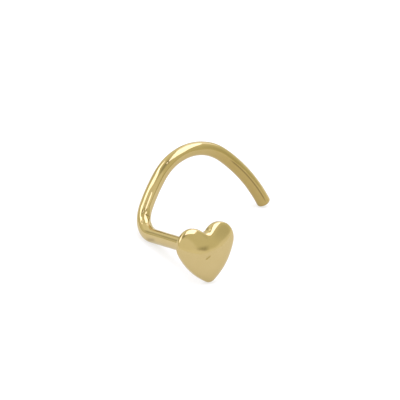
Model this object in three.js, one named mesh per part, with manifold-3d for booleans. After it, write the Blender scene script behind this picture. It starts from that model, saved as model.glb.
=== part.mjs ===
// Heart nose screw: a domed gold heart with a bent wire soldered to its flat back.
// Millimetres, +Z up. The stud stands as it does when it is put down on a table,
// on three feet: the heart's tip, the wire's bend and the wire's far end.
import * as THREE from "three";
import { LoftGeometry } from "three/addons/geometries/LoftGeometry.js";
import { mergeVertices } from "three/addons/utils/BufferGeometryUtils.js";
import Module from "manifold-3d";

// The wire, 20 gauge
const WIRE_DIAMETER = 0.8;
const WIRE_RADIUS = WIRE_DIAMETER / 2;
const WIRE_SIDES = 20;
const WIRE_STEPS = 100;
const END_ROUNDING = 0.18;

// The post runs straight back from the heart and bends square into the hook's plane.
const POST_LENGTH = 6.84;
const BEND_RADIUS = 1.53;
const HOOK_RISE_DEG = 59;

// The hook turns clockwise, seen from the front, through three arcs in one plane.
// The rounding of the cut end comes after the tail's length.
const HOOK_ARCS = [
  { part: "leg", radius: 9.8, length: 1.82 },
  { part: "crown", radius: 3.03, length: 4.72 },
  { part: "tail", radius: 9.4, length: 4.16 },
];

// The heart's outline, about the post's axis: two lobes, two long sides, a tip and a notch
const LOBE_RADIUS = 0.97;
const LOBE_ACROSS = 0.895;
const LOBE_UP = 0.555;
const SIDE_RADIUS = 4.06;
const TIP_RADIUS = 0.45;
const TIP_DOWN = 1.74;
const NOTCH_RADIUS = 0.27;

// The heart's thickness: a low straight rim below a dome. The dome is round about the post's
// axis at its top and takes the heart's outline towards the rim. A higher outline hold keeps
// the outline closer to the rim.
const RIM_HEIGHT = 0.2;
const BACK_EDGE = 0.05;
const DOME_HEIGHT = 0.53;
const DOME_FULLNESS = 2.16;
const DOME_TOP_RADIUS = 1.61;
const OUTLINE_HOLD = 2.4;
const DOME_RINGS = 12;
const OUTLINE_POINTS = 72;

// The solder that fills the corner between the heart's back and the post
const SOLDER_RADIUS = 0.22;
const SOLDER_DEPTH = 0.1;
const SOLDER_POINTS = 5;

const GOLD = { color: 0xd9b96c, roughness: 0.12, metalness: 1 };

// Points closer than this are one point.
const WELD = 1e-4;

const wasm = await Module();
wasm.setup();

// A closed geometry as a solid that can be joined
function solid(geometry) {
  const bare = new THREE.BufferGeometry();
  bare.setAttribute("position", geometry.attributes.position);
  bare.setIndex(geometry.index);
  const welded = mergeVertices(bare, WELD);
  return new wasm.Manifold(
    new wasm.Mesh({
      numProp: 3,
      vertProperties: new Float32Array(welded.attributes.position.array),
      triVerts: new Uint32Array(welded.index.array),
    }),
  );
}

// A solid back as a geometry
function geometryOf(manifold) {
  const mesh = manifold.getMesh();
  const geometry = new THREE.BufferGeometry();
  geometry.setAttribute("position", new THREE.BufferAttribute(mesh.vertProperties, 3));
  geometry.setIndex(new THREE.BufferAttribute(mesh.triVerts, 1));
  geometry.computeVertexNormals();
  return geometry;
}

const angleOf = (from, to) => Math.atan2(to.y - from.y, to.x - from.x);

// The heart's outline as tangent arcs, from the notch clockwise round to the notch again
function heartOutline() {
  const lobe = new THREE.Vector2(LOBE_ACROSS, LOBE_UP);
  const tip = new THREE.Vector2(0, TIP_RADIUS - TIP_DOWN);
  const notchRise = Math.sqrt((LOBE_RADIUS + NOTCH_RADIUS) ** 2 - LOBE_ACROSS ** 2);
  const notch = new THREE.Vector2(0, LOBE_UP + notchRise);

  // The side's arc holds both the lobe's and the tip's circle inside it.
  const toLobe = SIDE_RADIUS - LOBE_RADIUS;
  const toTip = SIDE_RADIUS - TIP_RADIUS;
  const span = lobe.distanceTo(tip);
  const along = (toTip ** 2 - toLobe ** 2 + span ** 2) / (2 * span);
  const across = Math.sqrt(toTip ** 2 - along ** 2);
  const way = lobe.clone().sub(tip).normalize();
  const side = tip.clone().addScaledVector(way, along);
  side.add(new THREE.Vector2(-way.y, way.x).multiplyScalar(across));

  const notchEnd = angleOf(notch, lobe);
  const lobeEnd = angleOf(side, lobe);
  const sideEnd = angleOf(side, tip);
  const down = -Math.PI / 2;
  const mirrored = (angle) => Math.PI - angle;

  const outline = new THREE.Path();
  outline.absarc(0, notch.y, NOTCH_RADIUS, down, notchEnd, false);
  outline.absarc(lobe.x, lobe.y, LOBE_RADIUS, notchEnd + Math.PI, lobeEnd, true);
  outline.absarc(side.x, side.y, SIDE_RADIUS, lobeEnd, sideEnd, true);
  outline.absarc(0, tip.y, TIP_RADIUS, sideEnd, mirrored(sideEnd), true);
  outline.absarc(-side.x, side.y, SIDE_RADIUS, mirrored(sideEnd), mirrored(lobeEnd), true);
  outline.absarc(-lobe.x, lobe.y, LOBE_RADIUS, mirrored(lobeEnd), -notchEnd, true);
  outline.absarc(0, notch.y, NOTCH_RADIUS, mirrored(notchEnd), Math.PI - down, false);
  return outline;
}

// The heart: rings of its outline up the dome, each rounder than the last, and a flat back
function heart() {
  const outline = heartOutline().getSpacedPoints(OUTLINE_POINTS).slice(0, OUTLINE_POINTS);
  const ring = (forward, reachOf) =>
    outline.map((point) => {
      const spoke = point.clone().setLength(reachOf(point.length()));
      return new THREE.Vector3(spoke.x, -forward, spoke.y);
    });

  const rings = [];
  for (let i = 1; i <= DOME_RINGS; i += 1) {
    const turn = (i / DOME_RINGS) * (Math.PI / 2);
    const scale = Math.sin(turn) ** (2 / DOME_FULLNESS);
    const heartShare = scale ** OUTLINE_HOLD;
    const forward = RIM_HEIGHT + DOME_HEIGHT * Math.cos(turn);
    const blend = (reach) => scale * THREE.MathUtils.lerp(DOME_TOP_RADIUS, reach, heartShare);
    rings.push(ring(forward, blend));
  }
  rings.push(ring(BACK_EDGE, (reach) => reach));
  rings.push(ring(0, (reach) => reach - BACK_EDGE));
  return new LoftGeometry(rings, { capStart: true, capEnd: true });
}

// A circular arc in space, from the direction "out" towards the direction "ahead"
class Arc extends THREE.Curve {
  constructor(centre, out, ahead, radius, sweep) {
    super();
    Object.assign(this, { centre, out, ahead, radius, sweep });
  }

  getPoint(t, target = new THREE.Vector3()) {
    const angle = t * this.sweep;
    return target
      .copy(this.centre)
      .addScaledVector(this.out, this.radius * Math.cos(angle))
      .addScaledVector(this.ahead, this.radius * Math.sin(angle));
  }
}

// The wire's centre line: post, bend and the hook's arcs, each tangent to the last
function wirePath() {
  const back = new THREE.Vector3(0, 1, 0);
  const rise = THREE.MathUtils.degToRad(HOOK_RISE_DEG);
  const heading = new THREE.Vector3(Math.cos(rise), 0, Math.sin(rise));
  const bendStart = new THREE.Vector3(0, POST_LENGTH - BEND_RADIUS, 0);
  const bendCentre = bendStart.clone().addScaledVector(heading, BEND_RADIUS);

  const path = new THREE.CurvePath();
  path.add(new THREE.LineCurve3(new THREE.Vector3(0, -RIM_HEIGHT, 0), bendStart));
  path.add(new Arc(bendCentre, heading.clone().negate(), back, BEND_RADIUS, Math.PI / 2));

  let end = bendCentre.clone().addScaledVector(back, BEND_RADIUS);
  for (const { radius, length } of HOOK_ARCS) {
    const inward = new THREE.Vector3().crossVectors(heading, back).negate();
    const centre = end.clone().addScaledVector(inward, radius);
    const sweep = length / radius;
    const arc = new Arc(centre, inward.clone().negate(), heading.clone(), radius, sweep);
    path.add(arc);
    end = arc.getPoint(1);
    heading.applyAxisAngle(back, sweep);
  }
  return { path, end, heading };
}

// The wire: a round section along its path, with the cut end rounded over
function wire() {
  const { path, end, heading } = wirePath();
  const section = new THREE.Shape().absarc(0, 0, WIRE_RADIUS, 0, 2 * Math.PI, false);
  const tube = new THREE.ExtrudeGeometry(section, {
    curveSegments: WIRE_SIDES / 2,
    steps: WIRE_STEPS,
    extrudePath: path,
  });
  const button = new THREE.SphereGeometry(WIRE_RADIUS, WIRE_SIDES, WIRE_SIDES / 2);
  button.scale(1, END_ROUNDING / WIRE_RADIUS, 1);
  const up = new THREE.Vector3(0, 1, 0);
  button.applyQuaternion(new THREE.Quaternion().setFromUnitVectors(up, heading));
  button.translate(end.x, end.y, end.z);
  return solid(tube).add(solid(button));
}

// The solder: a ring with a hollow quarter-round flank, sunk a little into the heart
function solder() {
  const profile = [new THREE.Vector2(0, -SOLDER_DEPTH)];
  profile.push(new THREE.Vector2(WIRE_RADIUS + SOLDER_RADIUS, -SOLDER_DEPTH));
  for (let i = 0; i <= SOLDER_POINTS; i += 1) {
    const turn = (i / SOLDER_POINTS) * (Math.PI / 2);
    const inset = SOLDER_RADIUS * (1 - Math.sin(turn));
    const height = SOLDER_RADIUS * (1 - Math.cos(turn));
    profile.push(new THREE.Vector2(WIRE_RADIUS + inset, height));
  }
  profile.push(new THREE.Vector2(0, SOLDER_RADIUS));
  return new THREE.LatheGeometry(profile, WIRE_SIDES);
}

// The point of a set that lies lowest along a direction
function lowest(points, up) {
  return points.reduce((low, point) => (point.dot(up) < low.dot(up) ? point : low));
}

// The direction that is up when the heart, the bend and the wire's far end all touch
function restingUp(geometry) {
  const points = [];
  const position = geometry.attributes.position;
  for (let i = 0; i < position.count; i += 1) {
    points.push(new THREE.Vector3().fromBufferAttribute(position, i));
  }
  const farEnd = wirePath().end;
  const feet = [
    points.filter((point) => point.y < POST_LENGTH / 2),
    points.filter((point) => point.y > POST_LENGTH / 2 && point.x < farEnd.x / 2),
    points.filter((point) => point.y > POST_LENGTH / 2 && point.x > farEnd.x / 2),
  ];
  const up = new THREE.Vector3(0, 0, 1);
  const rounds = 8;
  for (let i = 0; i < rounds; i += 1) {
    const [tip, bend, end] = feet.map((foot) => lowest(foot, up));
    up.crossVectors(end.clone().sub(bend), tip.clone().sub(bend)).negate().normalize();
  }
  return up;
}

const stud = solid(heart()).add(solid(solder())).add(wire());
const geometry = geometryOf(stud);

// Lay the post's direction over +Y and stand the stud on its feet about the origin.
const up = restingUp(geometry);
const right = new THREE.Vector3().crossVectors(new THREE.Vector3(0, 1, 0), up).normalize();
const back = new THREE.Vector3().crossVectors(up, right);
geometry.applyMatrix4(new THREE.Matrix4().makeBasis(right, back, up).transpose());
geometry.computeBoundingBox();
const middle = geometry.boundingBox.getCenter(new THREE.Vector3());
geometry.translate(-middle.x, -middle.y, -geometry.boundingBox.min.z);

const studMesh = new THREE.Mesh(geometry, new THREE.MeshStandardMaterial(GOLD));
studMesh.name = "heart_nose_screw";

const group = new THREE.Group();
group.add(studMesh);

export default group;
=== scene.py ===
# %% [markdown]
# # A heart nose screw in polished gold
# A nose screw is a stud that is worn in a pierced nostril. A small gold heart sits outside,
# a straight post goes through the piercing, and the wire then bends square into a curved
# hook that rests inside. The heart and the wire are soldered, so the finished jewel is one
# continuous piece of metal. Here it lies as it was put down: on the heart's tip, on the
# wire's bend and on the wire's far end. The imported solid has the same named sizes.

# %% Load the frame
import math

import bmesh
import bpy
import numpy as np
from mathutils import Matrix, Vector


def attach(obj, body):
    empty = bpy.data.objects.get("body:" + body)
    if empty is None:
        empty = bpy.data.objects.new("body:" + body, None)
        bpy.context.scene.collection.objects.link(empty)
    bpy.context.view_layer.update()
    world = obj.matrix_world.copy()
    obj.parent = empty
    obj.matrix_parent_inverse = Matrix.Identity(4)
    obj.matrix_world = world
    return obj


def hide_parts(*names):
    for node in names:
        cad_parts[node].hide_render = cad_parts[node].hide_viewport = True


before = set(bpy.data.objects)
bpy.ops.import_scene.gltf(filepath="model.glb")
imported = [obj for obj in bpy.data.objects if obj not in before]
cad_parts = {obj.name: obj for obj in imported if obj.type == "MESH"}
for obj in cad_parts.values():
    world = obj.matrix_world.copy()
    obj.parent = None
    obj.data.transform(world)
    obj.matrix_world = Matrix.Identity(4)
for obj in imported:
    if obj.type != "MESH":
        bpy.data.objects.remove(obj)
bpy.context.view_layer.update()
STUD = "heart_nose_screw"
MM = 0.001

# %% [markdown]
# ## Helpers for nodes
# The gold, the two shapes and the light tent are all trees of nodes. Each node takes several
# lines to add, set and link, so a few helpers do that and hand back the socket that the next
# node reads. A tree then reads like a row of sums.

# %% Node helpers
def add_node(tree, kind, inputs=None, **settings):
    """Adds a node, sets its options, and sets or links its inputs."""
    node = tree.nodes.new(kind)
    for name, value in settings.items():
        setattr(node, name, value)
    for key, value in (inputs or {}).items():
        if isinstance(value, bpy.types.NodeSocket):
            tree.links.new(value, node.inputs[key])
        else:
            node.inputs[key].default_value = value
    return node


def calc(tree, operation, *values):
    return add_node(tree, "ShaderNodeMath", dict(enumerate(values)), operation=operation).outputs[0]


def vector_calc(tree, operation, *values):
    """A sum on vectors. The result is in the output Vector or, for one number, in Value."""
    inputs = dict(enumerate(values))
    return add_node(tree, "ShaderNodeVectorMath", inputs, operation=operation).outputs


def scaled(tree, vector, factor):
    inputs = {0: vector, "Scale": factor}
    return add_node(tree, "ShaderNodeVectorMath", inputs, operation="SCALE").outputs["Vector"]


def split(tree, vector):
    return add_node(tree, "ShaderNodeSeparateXYZ", {"Vector": vector}).outputs


def noise(tree, vector, scale, detail):
    inputs = {"Vector": vector, "Scale": scale, "Detail": detail}
    return add_node(tree, "ShaderNodeTexNoise", inputs).outputs["Fac"]


def span(tree, value, ends, result=(0.0, 1.0), how="LINEAR"):
    """Where a value lies between two ends, told between the two ends of the result."""
    inputs = {"Value": value, "From Min": ends[0], "From Max": ends[1]}
    inputs.update({"To Min": result[0], "To Max": result[1]})
    node = add_node(tree, "ShaderNodeMapRange", inputs, interpolation_type=how)
    return node.outputs["Result"]


def mix(tree, share, first, second, how="MIX"):
    """The first colour, changed by the second as far as the share says."""
    inputs = {"Factor": share, "A": first, "B": second}
    node = add_node(tree, "ShaderNodeMix", inputs, data_type="RGBA", blend_type=how)
    return node.outputs["Result"]


# %% [markdown]
# ## The gold
# 14 karat gold is a pale yellow metal, and this stud is polished but hand made. A metal has
# no colour of its own apart from what it reflects, so most of the look comes from the lights.
# What the material adds is the tint, a slight mottling of that tint, and the polish: faint
# lines that the draw plate left along the wire, and a haze of finer scratches from the
# polishing wheel. The lines have to follow the wire round its bends, so they read "grain",
# an attribute that holds where each point lay when the wire was still straight. It also tells
# which side is the inside of the hook. There the gold gets a painted shade that deepens
# towards the end, for the shaded table that it reflects. A second attribute darkens the gold
# with painted shade in the marks and along the line at the end of the hook.

# %% Colour of the gold
GOLD_TINT = (0.5, 0.39, 0.172, 1.0)
GOLD_PALE = (0.52, 0.41, 0.19, 1.0)
MOTTLE = {"scale": 500.0, "detail": 3.0}
MOTTLE_SPAN = (0.35, 0.65)
# Painted shade inside the hook, towards its end.
INSIDE_SHADE_TINT = (0.8, 0.76, 0.6, 1.0)
INSIDE_SHADE_SPAN = (8.0, 15.0)
INSIDE_WAY = (0.857, 0.515, 0.0)
INSIDE_SPAN = (-0.7, 0.1)
# Painted shade for the marks and the line.
PAINTED_SHADE_TINT = (0.3, 0.27, 0.22, 1.0)


def gold_colour(tree, place, grain):
    """Mottled gold, with painted shade inside the hook towards its end and in the marks."""
    ramp = add_node(tree, "ShaderNodeValToRGB", {"Fac": noise(tree, place, **MOTTLE)})
    for stop, position, tint in zip(ramp.color_ramp.elements, MOTTLE_SPAN, (GOLD_TINT, GOLD_PALE)):
        stop.position = position
        stop.color = tint
    # Painted shade: the inside of the hook is darker towards its end, where it reflects shaded table.
    far = span(tree, split(tree, grain)["Z"], INSIDE_SHADE_SPAN)
    inside = span(tree, vector_calc(tree, "DOT_PRODUCT", grain, INSIDE_WAY)["Value"], INSIDE_SPAN)
    inside_shade = calc(tree, "MULTIPLY", far, inside)
    toned = mix(tree, inside_shade, ramp.outputs["Color"], INSIDE_SHADE_TINT, "MULTIPLY")
    # Painted shade in the marks and along the line, read from an attribute.
    soil = add_node(tree, "ShaderNodeAttribute", attribute_name="soil").outputs["Fac"]
    return mix(tree, soil, toned, PAINTED_SHADE_TINT, "MULTIPLY")


# %% Polish of the gold
LINE_STRETCH = (1.0, 1.0, 0.06)
LINES = {"scale": 14.0, "detail": 4.0}
LINE_HEIGHT = 0.004 * MM
LINE_STRENGTH = 0.12
HAZE = {"scale": 9000.0, "detail": 2.0}
WEAR_SPAN = (0.1, 0.45)
ROUGHNESS_SPAN = (0.07, 0.15)


def gold_polish(tree, place, grain):
    """The roughness and the relief, from lines along the wire and a haze of scratches."""
    inputs = {"Vector": grain, "Scale": LINE_STRETCH}
    stretched = add_node(tree, "ShaderNodeMapping", inputs).outputs["Vector"]
    lines = noise(tree, stretched, **LINES)
    wear = calc(tree, "MULTIPLY", lines, noise(tree, place, **HAZE))
    inputs = {"Height": lines, "Strength": LINE_STRENGTH, "Distance": LINE_HEIGHT}
    relief = add_node(tree, "ShaderNodeBump", inputs).outputs["Normal"]
    return span(tree, wear, WEAR_SPAN, ROUGHNESS_SPAN), relief


# %% Gold material
def polished_gold():
    material = bpy.data.materials.new("polished_gold")
    material.use_nodes = True
    tree = material.node_tree
    place = add_node(tree, "ShaderNodeTexCoord").outputs["Object"]
    grain = add_node(tree, "ShaderNodeAttribute", attribute_name="grain").outputs["Vector"]
    roughness, relief = gold_polish(tree, place, grain)
    shader = tree.nodes["Principled BSDF"].inputs
    shader["Metallic"].default_value = 1.0
    tree.links.new(gold_colour(tree, place, grain), shader["Base Color"])
    tree.links.new(roughness, shader["Roughness"])
    tree.links.new(relief, shader["Normal"])
    return material


gold = polished_gold()
print("material:", gold.name, "with", len(gold.node_tree.nodes), "nodes")

# %% [markdown]
# ## The wire
# The post, the bend and the hook are one length of 0.8 mm round wire. It could be a curve with
# a bevel, but the wire is thicker where the solder fills the corner at the heart, and it is
# rounded over at its cut end, so a Geometry Nodes tree sweeps a circle along the path and works
# out the wire's radius from the distance along it. The path itself is a line and four arcs,
# each tangent to the one before. Its stations lie closer together where the shape changes
# quickly: at the solder, at the cut end, and at the bend, which gets the finest marks. All
# shaping is in millimetres, with the heart's flat back on y = 0 and the post along +Y.

# %% Wire path
WIRE_RADIUS = 0.4
POST_LENGTH = 6.84
BEND_RADIUS = 1.53
HOOK_RISE = math.radians(59)
HOOK_ARCS = [
    {"part": "leg", "radius": 9.8, "length": 1.82},
    {"part": "crown", "radius": 3.03, "length": 4.72},
    {"part": "tail", "radius": 9.4, "length": 4.34},
]
BACK = Vector((0, 1, 0))


def arc(start, along, inward, radius, length):
    def point(distance):
        turn = distance / radius
        return start + along * radius * math.sin(turn) + inward * radius * (1 - math.cos(turn))

    return length, point


def wire_sections():
    """The path's pieces, each a length and a function from distance to point."""
    heading = Vector((math.cos(HOOK_RISE), 0, math.sin(HOOK_RISE)))
    bend_start = BACK * (POST_LENGTH - BEND_RADIUS)
    sections = [(bend_start.length, lambda distance: BACK * distance)]
    sections.append(arc(bend_start, BACK, heading, BEND_RADIUS, BEND_RADIUS * math.pi / 2))
    end = bend_start + (heading + BACK) * BEND_RADIUS
    for row in HOOK_ARCS:
        inward = BACK.cross(heading)
        sections.append(arc(end, heading, inward, row["radius"], row["length"]))
        end = sections[-1][1](row["length"])
        heading = Matrix.Rotation(row["length"] / row["radius"], 3, BACK) @ heading
    return sections


def point_on_wire(distance, sections):
    for length, point in sections:
        if distance <= length:
            return point(distance)
        distance -= length
    return sections[-1][1](sections[-1][0])


wire_path = wire_sections()
wire_length = sum(length for length, _ in wire_path)
print("wire length in mm:", round(wire_length, 2))

# %% Stations on the wire
SOLDER_RADIUS = 0.22
END_ROUNDING = 0.2
STEP = 0.035
BEND_STEP = 0.01
BEND_SPAN = (6.75, 7.25)
ROUNDING_STEPS = 9

quarter = 1 - np.cos(np.linspace(0, math.pi / 2, ROUNDING_STEPS))
stations = np.concatenate(
    [
        SOLDER_RADIUS * quarter[:-1],
        np.arange(SOLDER_RADIUS, BEND_SPAN[0], STEP),
        np.arange(*BEND_SPAN, BEND_STEP),
        np.arange(BEND_SPAN[1], wire_length - END_ROUNDING, STEP),
        wire_length - END_ROUNDING * quarter[::-1],
    ]
)
print("stations:", len(stations))

# %% [markdown]
# ## Trees that make shapes
# A Geometry Nodes tree is a recipe: it reads named inputs and gives back geometry. Each recipe
# here runs once, on an empty object. The result is then copied to a plain mesh, because the
# marks below move its points one by one. Every tree ends in the same way, so that is a helper.

# %% Geometry helpers
SEAM_GAP = 1e-5


def poly_curve(name, points, closed=False):
    """A curve object of straight steps through the points, for a tree to read."""
    data = bpy.data.curves.new(name, "CURVE")
    data.dimensions = "3D"
    spline = data.splines.new("POLY")
    spline.points.add(len(points) - 1)
    spline.points.foreach_set("co", [c for p in points for c in (*p, 1.0)])
    spline.use_cyclic_u = closed
    curve = bpy.data.objects.new(name, data)
    bpy.context.collection.objects.link(curve)
    return curve


def named_vector(tree, name):
    inputs = {"Name": name}
    node = add_node(tree, "GeometryNodeInputNamedAttribute", inputs, data_type="FLOAT_VECTOR")
    return node.outputs["Attribute"]


def store(tree, geometry, name, vector):
    inputs = {"Geometry": geometry, "Name": name, "Value": vector}
    options = {"data_type": "FLOAT_VECTOR", "domain": "POINT"}
    return add_node(tree, "GeometryNodeStoreNamedAttribute", inputs, **options).outputs["Geometry"]


def close_seams(tree, geometry):
    inputs = {"Geometry": geometry, "Distance": SEAM_GAP}
    return add_node(tree, "GeometryNodeMergeByDistance", inputs).outputs["Geometry"]


# %% Starting, ending and running a tree
def new_tree(name, inputs):
    """An empty tree with named inputs, and the identifier of each."""
    tree = bpy.data.node_groups.new(name, "GeometryNodeTree")
    tree.interface.new_socket("Geometry", in_out="OUTPUT", socket_type="NodeSocketGeometry")
    identifiers = {}
    for label, kind in inputs.items():
        socket = tree.interface.new_socket(label, in_out="INPUT", socket_type="NodeSocket" + kind)
        identifiers[label] = socket.identifier
    return tree, identifiers


def finish_tree(tree, geometry, material):
    """Smooth shading, plain geometry and the material, as the last nodes of a tree."""
    smooth = add_node(tree, "GeometryNodeSetShadeSmooth", {"Geometry": geometry})
    real = add_node(tree, "GeometryNodeRealizeInstances", {"Geometry": smooth.outputs[0]})
    inputs = {"Geometry": real.outputs[0], "Material": material}
    dressed = add_node(tree, "GeometryNodeSetMaterial", inputs)
    add_node(tree, "NodeGroupOutput", {"Geometry": dressed.outputs[0]})


def run_tree(tree, identifiers, values):
    """Runs a tree on an empty object and returns its result as a plain mesh."""
    host = bpy.data.objects.new(tree.name, bpy.data.meshes.new(tree.name))
    bpy.context.collection.objects.link(host)
    modifier = host.modifiers.new(tree.name, "NODES")
    modifier.node_group = tree
    for label, value in values.items():
        modifier[identifiers[label]] = value
    evaluated = host.evaluated_get(bpy.context.evaluated_depsgraph_get())
    mesh = bpy.data.meshes.new_from_object(evaluated)
    host.modifiers.remove(modifier)
    bpy.data.objects.remove(host)
    return mesh


# %% Thickness of the wire
END_SQUARENESS = 2.6


def solder_flare(tree, solder, along):
    """The solder is a hollow quarter round between the heart's back and the wire."""
    short = calc(tree, "SUBTRACT", solder, calc(tree, "MINIMUM", along, solder))
    leg = calc(tree, "SUBTRACT", calc(tree, "POWER", solder, 2.0), calc(tree, "POWER", short, 2.0))
    return calc(tree, "SUBTRACT", solder, calc(tree, "SQRT", calc(tree, "MAXIMUM", leg, 0.0)))


def end_share(tree, rounding, left):
    """The cut end is rounded over by a squarish ellipse."""
    near = calc(tree, "DIVIDE", calc(tree, "MINIMUM", left, rounding), rounding)
    gone = calc(tree, "SUBTRACT", 1.0, near)
    squared = calc(tree, "SUBTRACT", 1.0, calc(tree, "POWER", gone, END_SQUARENESS))
    return calc(tree, "POWER", calc(tree, "MAXIMUM", squared, 0.0), 1.0 / END_SQUARENESS)


def wire_thickness(tree, given, along):
    total = add_node(tree, "GeometryNodeSplineLength").outputs["Length"]
    left = calc(tree, "SUBTRACT", total, along)
    rounded = calc(tree, "MULTIPLY", given["Wire Radius"], end_share(tree, given["End Rounding"], left))
    return calc(tree, "ADD", rounded, solder_flare(tree, given["Solder Radius"], along))


# %% Waver of the wire
WAVER = 0.016
WAVER_NOISE = {"scale": 1.1, "detail": 1.0}
NOISE_MIDDLE = 0.5
STEADY_LENGTH = 1.5


def waver_offset(tree, waver):
    """Hand-bent wire is a little uneven, but not where it is held by the solder."""
    grain = named_vector(tree, "grain")
    uneven = calc(tree, "SUBTRACT", noise(tree, grain, **WAVER_NOISE), NOISE_MIDDLE)
    free = calc(tree, "MINIMUM", calc(tree, "DIVIDE", split(tree, grain)["Z"], STEADY_LENGTH), 1.0)
    height = calc(tree, "MULTIPLY", calc(tree, "MULTIPLY", uneven, waver), free)
    normal = add_node(tree, "GeometryNodeInputNormal").outputs["Normal"]
    return scaled(tree, normal, height)


# %% Bent wire tree
AROUND = 128
WIRE_INPUTS = {
    "Path": "Object",
    "Wire Radius": "Float",
    "Sides": "Int",
    "Solder Radius": "Float",
    "End Rounding": "Float",
    "Waver": "Float",
    "Material": "Material",
}


def bent_wire_tree():
    """Sweeps a circle along the path. Its "grain" is the place on the straight wire."""
    tree, identifiers = new_tree("bent_wire", WIRE_INPUTS)
    given = tree.nodes.new("NodeGroupInput").outputs
    path = add_node(tree, "GeometryNodeObjectInfo", {"Object": given["Path"]}).outputs["Geometry"]
    along = add_node(tree, "GeometryNodeSplineParameter").outputs["Length"]
    lift = add_node(tree, "ShaderNodeCombineXYZ", {"Z": along}).outputs["Vector"]
    path = store(tree, path, "lift", lift)
    inputs = {"Resolution": given["Sides"], "Radius": 1.0}
    circle = add_node(tree, "GeometryNodeCurvePrimitiveCircle", inputs).outputs["Curve"]
    position = add_node(tree, "GeometryNodeInputPosition").outputs["Position"]
    circle = store(tree, circle, "turn", position)
    inputs = {"Curve": path, "Profile Curve": circle, "Scale": wire_thickness(tree, given, along)}
    swept = add_node(tree, "GeometryNodeCurveToMesh", inputs).outputs["Mesh"]
    straight = vector_calc(tree, "ADD", named_vector(tree, "turn"), named_vector(tree, "lift"))
    swept = store(tree, swept, "grain", straight["Vector"])
    offset = waver_offset(tree, given["Waver"])
    inputs = {"Geometry": close_seams(tree, swept), "Offset": offset}
    wavy = add_node(tree, "GeometryNodeSetPosition", inputs).outputs["Geometry"]
    finish_tree(tree, wavy, given["Material"])
    return tree, identifiers


path_curve = poly_curve("wire_path", [point_on_wire(d, wire_path) for d in stations])
wire_values = {
    "Path": path_curve,
    "Wire Radius": WIRE_RADIUS,
    "Sides": AROUND,
    "Solder Radius": SOLDER_RADIUS,
    "End Rounding": END_ROUNDING,
    "Waver": WAVER,
    "Material": gold,
}
wire_mesh = run_tree(*bent_wire_tree(), wire_values)
bpy.data.objects.remove(path_curve)
print("wire:", len(wire_mesh.vertices), "points,", len(wire_mesh.polygons), "faces")

# %% [markdown]
# ## The heart
# The heart is cast or stamped solid, with a flat back, a low rim and a full dome. Its outline
# is a chain of tangent arcs: notch, lobe, long side and tip, and the same mirrored. The dome
# could be sculpted, but it follows a rule: each ring of the surface reaches a share of the
# outline plus a round part, and towards the top the round part takes over, so the notch fades
# into a smooth crown. A tree lofts a grid by that rule. The first ring is the solder's foot,
# so the heart's skin starts where the wire's skin ends.

# %% Heart outline
LOBE_RADIUS = 0.97
LOBE_ACROSS = 0.895
LOBE_UP = 0.555
SIDE_RADIUS = 4.06
TIP_RADIUS = 0.45
TIP_DOWN = 1.74
NOTCH_RADIUS = 0.27
ARC_POINTS = 400


def arc_points(centre, radius, start, end):
    turn = np.linspace(start, end, ARC_POINTS)
    return np.stack([centre[0] + radius * np.cos(turn), centre[1] + radius * np.sin(turn)], axis=1)


def angle(start, end):
    return math.atan2(end.y - start.y, end.x - start.x)


def side_centre(lobe, tip):
    """The centre of the long side's arc, which holds the lobe's and the tip's arcs inside it."""
    to_lobe = SIDE_RADIUS - LOBE_RADIUS
    to_tip = SIDE_RADIUS - TIP_RADIUS
    apart = (lobe - tip).length
    way = (lobe - tip).normalized()
    along = (to_tip**2 - to_lobe**2 + apart**2) / (2 * apart)
    across = math.sqrt(to_tip**2 - along**2)
    return tip + way * along + Vector((-way.y, way.x)) * across


def heart_half():
    """The right half of the outline, as points on its arcs from the notch to the tip."""
    lobe = Vector((LOBE_ACROSS, LOBE_UP))
    tip = Vector((0, TIP_RADIUS - TIP_DOWN))
    notch = Vector((0, LOBE_UP + math.sqrt((LOBE_RADIUS + NOTCH_RADIUS) ** 2 - LOBE_ACROSS**2)))
    side = side_centre(lobe, tip)
    down = -math.pi / 2
    return np.concatenate(
        [
            arc_points(notch, NOTCH_RADIUS, down, angle(notch, lobe)),
            arc_points(lobe, LOBE_RADIUS, angle(notch, lobe) + math.pi, angle(side, lobe)),
            arc_points(side, SIDE_RADIUS, angle(side, lobe), angle(side, tip)),
            arc_points(tip, TIP_RADIUS, angle(side, tip), down),
        ]
    )


half = heart_half()
spoke_turn = np.arctan2(half[:, 0], half[:, 1])
spoke_reach = np.hypot(half[:, 0], half[:, 1])
turns = np.arange(AROUND) * 2 * math.pi / AROUND
reaches = np.interp(np.minimum(turns, 2 * math.pi - turns), spoke_turn, spoke_reach)
outline = [(r * math.sin(a), 0, r * math.cos(a)) for a, r in zip(turns, reaches)]
print("heart in mm:", round(2 * half[:, 0].max(), 2), "wide,", round(np.ptp(half[:, 1]), 2), "high")

# %% Heart profile
RIM_HEIGHT = 0.2
BACK_EDGE = 0.05
DOME_HEIGHT = 0.53
DOME_FULLNESS = 2.16
DOME_TOP_RADIUS = 1.61
OUTLINE_HOLD = 2.4
BACK_RINGS = 12
EDGE_RINGS = 5
RIM_RINGS = 3
DOME_RINGS = 70


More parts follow.
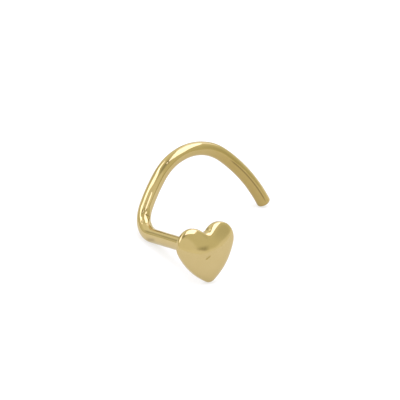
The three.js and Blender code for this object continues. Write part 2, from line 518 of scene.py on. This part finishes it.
def heart_profile():
    """A row for each ring: its share of the outline's reach, its own reach and its place in Y."""
    foot = WIRE_RADIUS + SOLDER_RADIUS
    rows = []
    for out in np.arange(BACK_RINGS) / BACK_RINGS:
        rows.append((out, foot * (1 - out) - BACK_EDGE * out, 0.0))
    for turn in np.linspace(0, math.pi / 2, EDGE_RINGS):
        rows.append((1.0, -BACK_EDGE * (1 - math.sin(turn)), -BACK_EDGE * (1 - math.cos(turn))))
    for forward in np.linspace(BACK_EDGE, RIM_HEIGHT, RIM_RINGS + 1)[1:-1]:
        rows.append((1.0, 0.0, -forward))
    for turn in np.linspace(math.pi / 2, 0, DOME_RINGS):
        scale = math.sin(turn) ** (2 / DOME_FULLNESS)
        heart_share = scale**OUTLINE_HOLD
        own_reach = (1 - heart_share) * scale * DOME_TOP_RADIUS
        rows.append((heart_share * scale, own_reach, -RIM_HEIGHT - DOME_HEIGHT * math.cos(turn)))
    return rows


profile = heart_profile()
print("heart rings:", len(profile))

# %% Domed heart tree
HEART_INPUTS = {
    "Outline": "Object",
    "Profile": "Object",
    "Around": "Int",
    "Rings": "Int",
    "Material": "Material",
}


def point_of(tree, curve, position, index):
    """The place of one point of a curve object."""
    points = add_node(tree, "GeometryNodeObjectInfo", {"Object": curve}).outputs["Geometry"]
    inputs = {"Geometry": points, "Value": position, "Index": index}
    node = add_node(tree, "GeometryNodeSampleIndex", inputs, data_type="FLOAT_VECTOR")
    return node.outputs["Value"]


def domed_heart_tree():
    """Lofts a grid with a row for each ring and a column for each spoke of the outline."""
    tree, identifiers = new_tree("domed_heart", HEART_INPUTS)
    given = tree.nodes.new("NodeGroupInput").outputs
    columns = calc(tree, "ADD", given["Around"], 1.0)
    inputs = {"Vertices X": given["Rings"], "Vertices Y": columns}
    grid = add_node(tree, "GeometryNodeMeshGrid", inputs).outputs["Mesh"]
    # Half a step more keeps the division clear of the next lower ring.
    index = add_node(tree, "GeometryNodeInputIndex").outputs["Index"]
    ring = calc(tree, "FLOOR", calc(tree, "DIVIDE", calc(tree, "ADD", index, 0.5), columns))
    column = calc(tree, "SUBTRACT", index, calc(tree, "MULTIPLY", ring, columns))
    column = calc(tree, "MODULO", column, given["Around"])

    position = add_node(tree, "GeometryNodeInputPosition").outputs["Position"]
    spoke = point_of(tree, given["Outline"], position, column)
    row = split(tree, point_of(tree, given["Profile"], position, ring))
    reach = vector_calc(tree, "LENGTH", spoke)["Value"]
    reach = calc(tree, "MULTIPLY_ADD", reach, row["X"], row["Y"])
    flat = scaled(tree, vector_calc(tree, "NORMALIZE", spoke)["Vector"], reach)
    forward = add_node(tree, "ShaderNodeCombineXYZ", {"Y": row["Z"]}).outputs["Vector"]
    inputs = {"Geometry": grid, "Position": vector_calc(tree, "ADD", flat, forward)["Vector"]}
    lofted = add_node(tree, "GeometryNodeSetPosition", inputs).outputs["Geometry"]
    lofted = store(tree, lofted, "grain", position)
    finish_tree(tree, close_seams(tree, lofted), given["Material"])
    return tree, identifiers


outline_curve = poly_curve("heart_outline", outline, closed=True)
profile_curve = poly_curve("heart_profile", profile)
heart_values = {
    "Outline": outline_curve,
    "Profile": profile_curve,
    "Around": AROUND,
    "Rings": len(profile),
    "Material": gold,
}
heart_mesh = run_tree(*domed_heart_tree(), heart_values)
for curve in (outline_curve, profile_curve):
    bpy.data.objects.remove(curve)
print("heart:", len(heart_mesh.vertices), "points,", len(heart_mesh.polygons), "faces")

# %% [markdown]
# ## One skin
# Solder joins the two into one piece, so the skins are welded along the ring they share, the
# foot of the solder. No boolean is needed, and the shading runs smoothly from the heart's back
# up into the post.

# %% Weld the wire to the heart
FOOT_GAP = 1e-3


def weld(meshes):
    joined = bmesh.new()
    for mesh in meshes:
        joined.from_mesh(mesh)
    foot = [v for v in joined.verts if v.is_boundary]
    bmesh.ops.remove_doubles(joined, verts=foot, dist=FOOT_GAP)
    bmesh.ops.recalc_face_normals(joined, faces=joined.faces)
    open_edges = sum(1 for e in joined.edges if not e.is_manifold)
    print("welded", len(foot), "foot points; edges left open:", open_edges)
    skin = bpy.data.meshes.new("gold_heart_nose_screw")
    joined.to_mesh(skin)
    joined.free()
    return skin


skin = weld([wire_mesh, heart_mesh])
skin.materials.clear()
skin.materials.append(gold)

# %% [markdown]
# ## Marks of the hand
# Pliers bent the wire, and the polishing that followed left some of their marks: a groove up
# the leg from the edge of a jaw, a nick and a spot at the bend, a flat where the jaw held the
# post, a nick on the crown, and a small tick on the heart. The metal that the bend squeezed
# also swells a little on its inside, with a low ridge beside the swelling, and the draw plate
# left one fine line along the end of the hook. Polished metal shows such marks by the way they
# bend a reflection, which a bump map does not do at a grazing view, so each one is pressed into
# the skin. A mark is a soft pit with a length and a width, told from its middle. A pitch makes
# it wavy along its length, a share of painted shade darkens the gold in it, and a pit with a
# depth below zero is a swelling. The line follows the wire, so "grain" places it, and painted
# shade darkens it too, a painted dark reflection along the end of the hook.

# %% Table of marks
MARKS = [
    {"name": "jaw groove", "at": (0.67, 6.523, 1.595), "run": (0.545, 0.036, 0.838), "long": 0.75,
     "wide": 0.085, "deep": 0.06, "pitch": 0.31, "soil": 0.2},
    {"name": "bend nick", "at": (0.471, 6.319, 0.897), "run": (0.85, -0.13, -0.5), "long": 0.12,
     "wide": 0.04, "deep": 0.03, "pitch": 0, "soil": 0.6},
    {"name": "bend spot", "at": (0.006, 6.218, 0.668), "run": (0.6, 0.5, 0.6), "long": 0.06,
     "wide": 0.05, "deep": 0.014, "pitch": 0, "soil": 0.4},
    {"name": "bend swell", "at": (0.33, 5.75, 0.36), "run": (0.3, 0.9, 0.3), "long": 0.5,
     "wide": 0.3, "deep": -0.06, "pitch": 0, "soil": 0.0},
    {"name": "bend ridge", "at": (0.2, 6.02, 0.63), "run": (0.215, 0.83, 0.514), "long": 0.6,
     "wide": 0.12, "deep": -0.015, "pitch": 0, "soil": 0.0},
    {"name": "jaw flat", "at": (-0.374, 4.86, -0.085), "run": (0.02, 0.98, -0.15), "long": 0.42,
     "wide": 0.085, "deep": 0.024, "pitch": 0, "soil": 0.4},
    {"name": "crown nick", "at": (2.318, 6.533, 3.505), "run": (0.1, 0.6, 0.8), "long": 0.1,
     "wide": 0.05, "deep": 0.004, "pitch": 0, "soil": 0.3},
    {"name": "heart tick", "at": (-0.27, -0.723, -0.14), "run": (0.88, -0.05, 0.47), "long": 0.17,
     "wide": 0.055, "deep": 0.018, "pitch": 0, "soil": 0.1},
]
DRAW_LINE = {"turn": math.radians(-52), "start": 14.6, "end": 18.4, "fade": 0.4, "wide": 0.038}
DRAW_LINE_DEEP = 0.008
# Painted shade along the line: a painted dark reflection.
DRAW_LINE_SHADE = 0.7
print("marks:", ", ".join(mark["name"] for mark in MARKS))

# %% Shapes of a mark and of the line
WAVE_SHARE = 0.07
WAVE_BEAT = 0.7
SAME_SIDE = 0.3


def press(points, normals, at, run, long, wide, pitch):
    """How far each point is in a mark, from 0 to about 1, and which way its middle faces."""
    place = np.array(at)
    facing = normals[np.argmin(((points - place) ** 2).sum(axis=1))]
    along = np.array(run) - facing * np.dot(run, facing)
    along /= np.linalg.norm(along)
    across = np.cross(facing, along)
    offset = points - place
    reach = offset @ along
    # The fourth power keeps a mark even along its length. The second makes it soft across.
    depth = np.exp(-((reach / long) ** 4) - (offset @ across / wide) ** 2)
    depth[normals @ facing < SAME_SIDE] = 0
    if pitch:
        wave = np.sin(2 * math.pi * reach / pitch)
        beat = np.cos(math.pi * reach / pitch / WAVE_BEAT)
        depth *= 1 + WAVE_SHARE * wave * beat
    return depth, facing


def scribe(grain, turn, start, end, fade, wide):
    """How far each point is in a line along the wire, from 0 to 1."""
    aside = WIRE_RADIUS * (np.arctan2(grain[:, 1], grain[:, 0]) - turn)
    begun = np.clip((grain[:, 2] - start) / fade, 0, 1)
    unended = np.clip((end - grain[:, 2]) / fade, 0, 1)
    return begun * unended * np.exp(-((aside / wide) ** 2))


# %% Press the marks
def read_vectors(collection, field):
    values = np.empty(len(collection) * 3)
    collection.foreach_get(field, values)
    return values.reshape(-1, 3)


smooth_points = read_vectors(skin.vertices, "co")
normals = read_vectors(skin.vertex_normals, "vector")
line = scribe(read_vectors(skin.attributes["grain"].data, "vector"), **DRAW_LINE)
points = smooth_points - DRAW_LINE_DEEP * line[:, None] * normals
# Painted shade: how dark the gold is painted along the line and in each mark.
soil = DRAW_LINE_SHADE * line
for mark in MARKS:
    shape = {key: mark[key] for key in ("at", "run", "long", "wide", "pitch")}
    depth, facing = press(smooth_points, normals, **shape)
    points -= mark["deep"] * depth[:, None] * facing
    soil += mark["soil"] * depth
skin.vertices.foreach_set("co", points.ravel())
skin.attributes.new("soil", "FLOAT", "POINT").data.foreach_set("value", soil)
print("furthest move in mm:", np.linalg.norm(points - smooth_points, axis=1).max().round(3))

# %% [markdown]
# ## Standing on its feet
# The stud is turned from the bench position to the way it lies. Three points carry it, so the
# direction that is up is square to the plane through the lowest points of the heart, of the
# bend and of the wire's far end. Turning changes which points are lowest, so this repeats until
# it settles, as a real stud rocks and comes to rest.

# %% Settle the stud
SETTLING_ROUNDS = 8


def lowest(points, up):
    return Vector(points[np.argmin(points @ np.array(up))])


def resting_turn(points):
    far_end = point_on_wire(wire_length, wire_path)
    behind = points[:, 1] > POST_LENGTH / 2
    far_half = points[:, 0] > far_end.x / 2
    feet = [points[~behind], points[behind & ~far_half], points[behind & far_half]]
    up = Vector((0, 0, 1))
    for _ in range(SETTLING_ROUNDS):
        tip, bend, end = [lowest(foot, up) for foot in feet]
        up = (tip - bend).cross(end - bend).normalized()
    right = BACK.cross(up).normalized()
    return Matrix((right, up.cross(right), up)).to_4x4()


turn = resting_turn(points)
stood = points @ np.array(turn.to_3x3()).T
low = stood.min(axis=0)
high = stood.max(axis=0)
middle = (low + high) / 2
to_rest = Matrix.Scale(MM, 4) @ Matrix.Translation((-middle[0], -middle[1], -low[2])) @ turn
skin.transform(to_rest)
skin.shade_smooth()
print("stud size in mm:", (high - low).round(3))

# %% Finished stud
stud = bpy.data.objects.new("gold_heart_nose_screw", skin)
bpy.context.collection.objects.link(stud)
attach(stud, "root")
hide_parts(STUD)
print("finished:", stud.name)

# %% [markdown]
# ## The table
# Jewellery is shot in a light tent: a white table, white cloth all round, and soft lights. The
# table here is a white card that is lit from below, which keeps the shadows under the stud as
# faint as in a catalogue picture. A plane that gives off some light itself does that, and it
# needs no lamp under it.

# %% Floor
FLOOR_SIZE = 3.0
CARD_GREY = (0.35, 0.35, 0.35, 1)
CARD_GLOW = (1.0, 1.0, 0.99, 1)
CARD_GLOW_STRENGTH = 0.64
CARD_ROUGHNESS = 0.9
CARD_SHINE = 0.1


def white_card():
    material = bpy.data.materials.new("white_card")
    material.use_nodes = True
    shader = material.node_tree.nodes["Principled BSDF"].inputs
    shader["Base Color"].default_value = CARD_GREY
    shader["Emission Color"].default_value = CARD_GLOW
    shader["Emission Strength"].default_value = CARD_GLOW_STRENGTH
    shader["Roughness"].default_value = CARD_ROUGHNESS
    shader["Specular IOR Level"].default_value = CARD_SHINE
    return material


def pale_floor():
    mesh = bpy.data.meshes.new("floor")
    edge = FLOOR_SIZE / 2
    corners = [(-edge, -edge, 0), (edge, -edge, 0), (edge, edge, 0), (-edge, edge, 0)]
    mesh.from_pydata(corners, [], [range(len(corners))])
    mesh.materials.append(white_card())
    floor = bpy.data.objects.new("floor", mesh)
    bpy.context.collection.objects.link(floor)


pale_floor()
print("floor in m:", FLOOR_SIZE, "across")

# %% [markdown]
# ## Soft lights
# Gold shows what is around it, so each light is placed for the highlight that it makes: the
# overhead one on the crown, the lobes and the bend, the left one along the leg, and the right
# one on the upper edges of the crown and the lobes. A highlight on polished metal is a picture
# of its lamp with crisp edges, and an area light gives that. Each is told as the stud sees it:
# a direction, and how many degrees it is wide and high. Its level is its brightness beside that
# of the tent's white cloth, which is about 1.

# %% Area lights
LIGHT_DISTANCE = 1.0
LIGHT_TINT = (0.65, 0.65, 1.0)
SOFT_LIGHTS = [
    {"name": "overhead", "azimuth": 68, "elevation": 75, "wide": 60, "high": 42, "level": 3.2},
    {"name": "left_back", "azimuth": -101, "elevation": 38, "wide": 46, "high": 26, "level": 3.0},
    {"name": "right_back", "azimuth": 130, "elevation": 43, "wide": 46, "high": 38, "level": 0.9},
]


def direction(azimuth, elevation):
    """The direction of a compass angle from the front, positive to the right, and a height."""
    a = math.radians(azimuth)
    e = math.radians(elevation)
    return Vector((math.sin(a) * math.cos(e), -math.cos(a) * math.cos(e), math.sin(e)))


def soft_light(name, azimuth, elevation, wide, high, level):
    """A rectangle of light that the stud sees as so many degrees wide and high."""
    data = bpy.data.lights.new(name, "AREA")
    data.shape = "RECTANGLE"
    data.size = 2 * LIGHT_DISTANCE * math.tan(math.radians(wide / 2))
    data.size_y = 2 * LIGHT_DISTANCE * math.tan(math.radians(high / 2))
    data.energy = level * math.pi * data.size * data.size_y
    data.color = LIGHT_TINT
    lamp = bpy.data.objects.new(name, data)
    lamp.location = direction(azimuth, elevation) * LIGHT_DISTANCE
    lamp.rotation_euler = lamp.location.to_track_quat("Z", "Y").to_euler()
    bpy.context.collection.objects.link(lamp)


for row in SOFT_LIGHTS:
    soft_light(**row)
print("soft lights:", len(SOFT_LIGHTS))

# %% [markdown]
# ## The light tent
# The cloth is all round the stud and has soft changes only, so it is painted into the world and
# needs no mesh. It is dim and warm low down, and lighter from a few degrees up. Lamps behind it
# make it glow: in a broad round on the camera's side, in another on the right, in a soft one
# behind, and in a small one behind on the left that is nearly as bright as a lamp. The card of
# the table turns up a few degrees at its edge and sags a little in front on the right. The edge
# hides the lowest cloth, and the heart shows it as the line between its two tones. Last come
# the shades: the tent's opening above the camera, and two fainter ones, on the right and
# behind. All angles are in degrees, and each round is full in its core and gone at its rim.

# %% Colours and places in the tent
TENT_LOW = (0.52, 0.5, 0.38, 1.0)
TENT_HIGH = (0.99, 0.98, 0.8, 1.0)
TENT_RISE = (5, 10)
GLOWS = [
    {"azimuth": -34, "elevation": -6, "core": 46.5, "rim": 51.5, "colour": (1.17, 1.16, 1.07, 1.0)},
    {"azimuth": 82, "elevation": -6, "core": 52, "rim": 61, "colour": (0.98, 0.97, 0.78, 1.0)},
    {"azimuth": -175, "elevation": 38, "core": 12, "rim": 26, "colour": (1.2, 1.19, 1.06, 1.0)},
    {"azimuth": -136, "elevation": 46, "core": 9, "rim": 12, "colour": (2.9, 2.9, 3.7, 1.0)},
]
CARD_EDGE = (1.24, 1.23, 1.14, 1.0)
CARD_EDGE_TOP = (4.2, 5.4)
CARD_SAG = {"azimuth": 32, "elevation": 2, "core": 3, "rim": 15, "depth": 2.6}
SHADES = [
    {"azimuth": -36, "elevation": 64, "core": 8, "rim": 26, "depth": 0.45},
    {"azimuth": 58, "elevation": 20, "core": 6, "rim": 24, "depth": 0.14},
    {"azimuth": -166, "elevation": 17, "core": 3, "rim": 11, "depth": 0.36},
]
print("tent:", len(GLOWS), "glows and", len(SHADES), "shades")

# %% Light tent
def height(degrees):
    return math.sin(math.radians(degrees))


def spot(tree, way, row):
    """1 within the core angle of a direction, and 0 beyond the rim angle."""
    near = vector_calc(tree, "DOT_PRODUCT", way, direction(row["azimuth"], row["elevation"]))
    ends = [math.cos(math.radians(row[key])) for key in ("rim", "core")]
    return span(tree, near["Value"], ends, how="SMOOTHSTEP")


def tent_colour(tree, way):
    """The cloth with its glows, and the edge of the table's card in front of it."""
    up = split(tree, way)["Z"]
    rise = span(tree, up, [height(d) for d in TENT_RISE], how="SMOOTHSTEP")
    cloth = mix(tree, rise, TENT_LOW, TENT_HIGH)
    for glow in GLOWS:
        cloth = mix(tree, spot(tree, way, glow), cloth, glow["colour"])
    sag = spot(tree, way, CARD_SAG)
    sagged = calc(tree, "MULTIPLY_ADD", sag, height(CARD_SAG["depth"]), up)
    above = span(tree, sagged, [height(d) for d in CARD_EDGE_TOP], how="SMOOTHSTEP")
    return mix(tree, above, CARD_EDGE, cloth)


def light_tent():
    world = bpy.data.worlds.new("light_tent")
    world.use_nodes = True
    tree = world.node_tree
    way = add_node(tree, "ShaderNodeTexCoord").outputs["Generated"]
    level = 1.0
    for shade in SHADES:
        dim = calc(tree, "MULTIPLY_ADD", spot(tree, way, shade), -shade["depth"], 1.0)
        level = calc(tree, "MULTIPLY", level, dim)
    backdrop = tree.nodes["Background"].inputs
    tree.links.new(tent_colour(tree, way), backdrop["Color"])
    tree.links.new(level, backdrop["Strength"])
    return world


bpy.context.scene.world = light_tent()
bpy.context.scene.view_settings.view_transform = "Standard"
print("world:", bpy.context.scene.world.name)

# %% [markdown]
# ## The camera
# Small jewellery is photographed from some way off with a long lens, so that the heart in front
# isn't larger than it should be beside the hook. The camera stands to the left, looks down, and
# is rolled a little. Its aim is told from the post, in bench millimetres, and is carried along
# by the same turn that stood the stud on its feet.

# %% Camera
CAMERA_AZIMUTH = -35.46
CAMERA_ELEVATION = 24.5
CAMERA_ROLL = math.radians(4.59)
CAMERA_DISTANCE = 465.6 * MM
LENS = 755.5
SENSOR_WIDTH = 36
NEAREST = 10 * MM
AIM_FROM_POST = Vector((0.433, 0.611, 2.761))


def photo_camera():
    data = bpy.data.cameras.new("camera")
    data.lens = LENS
    data.sensor_width = SENSOR_WIDTH
    data.clip_start = NEAREST
    camera = bpy.data.objects.new("camera", data)
    back = direction(CAMERA_AZIMUTH, CAMERA_ELEVATION)
    place = to_rest @ AIM_FROM_POST + back * CAMERA_DISTANCE
    level = back.to_track_quat("Z", "Y").to_matrix()
    turned = level @ Matrix.Rotation(CAMERA_ROLL, 3, "Z")
    camera.matrix_world = Matrix.Translation(place) @ turned.to_4x4()
    bpy.context.collection.objects.link(camera)
    return camera


bpy.context.scene.camera = photo_camera()
print("camera in m:", [round(v, 3) for v in bpy.context.scene.camera.matrix_world.translation])
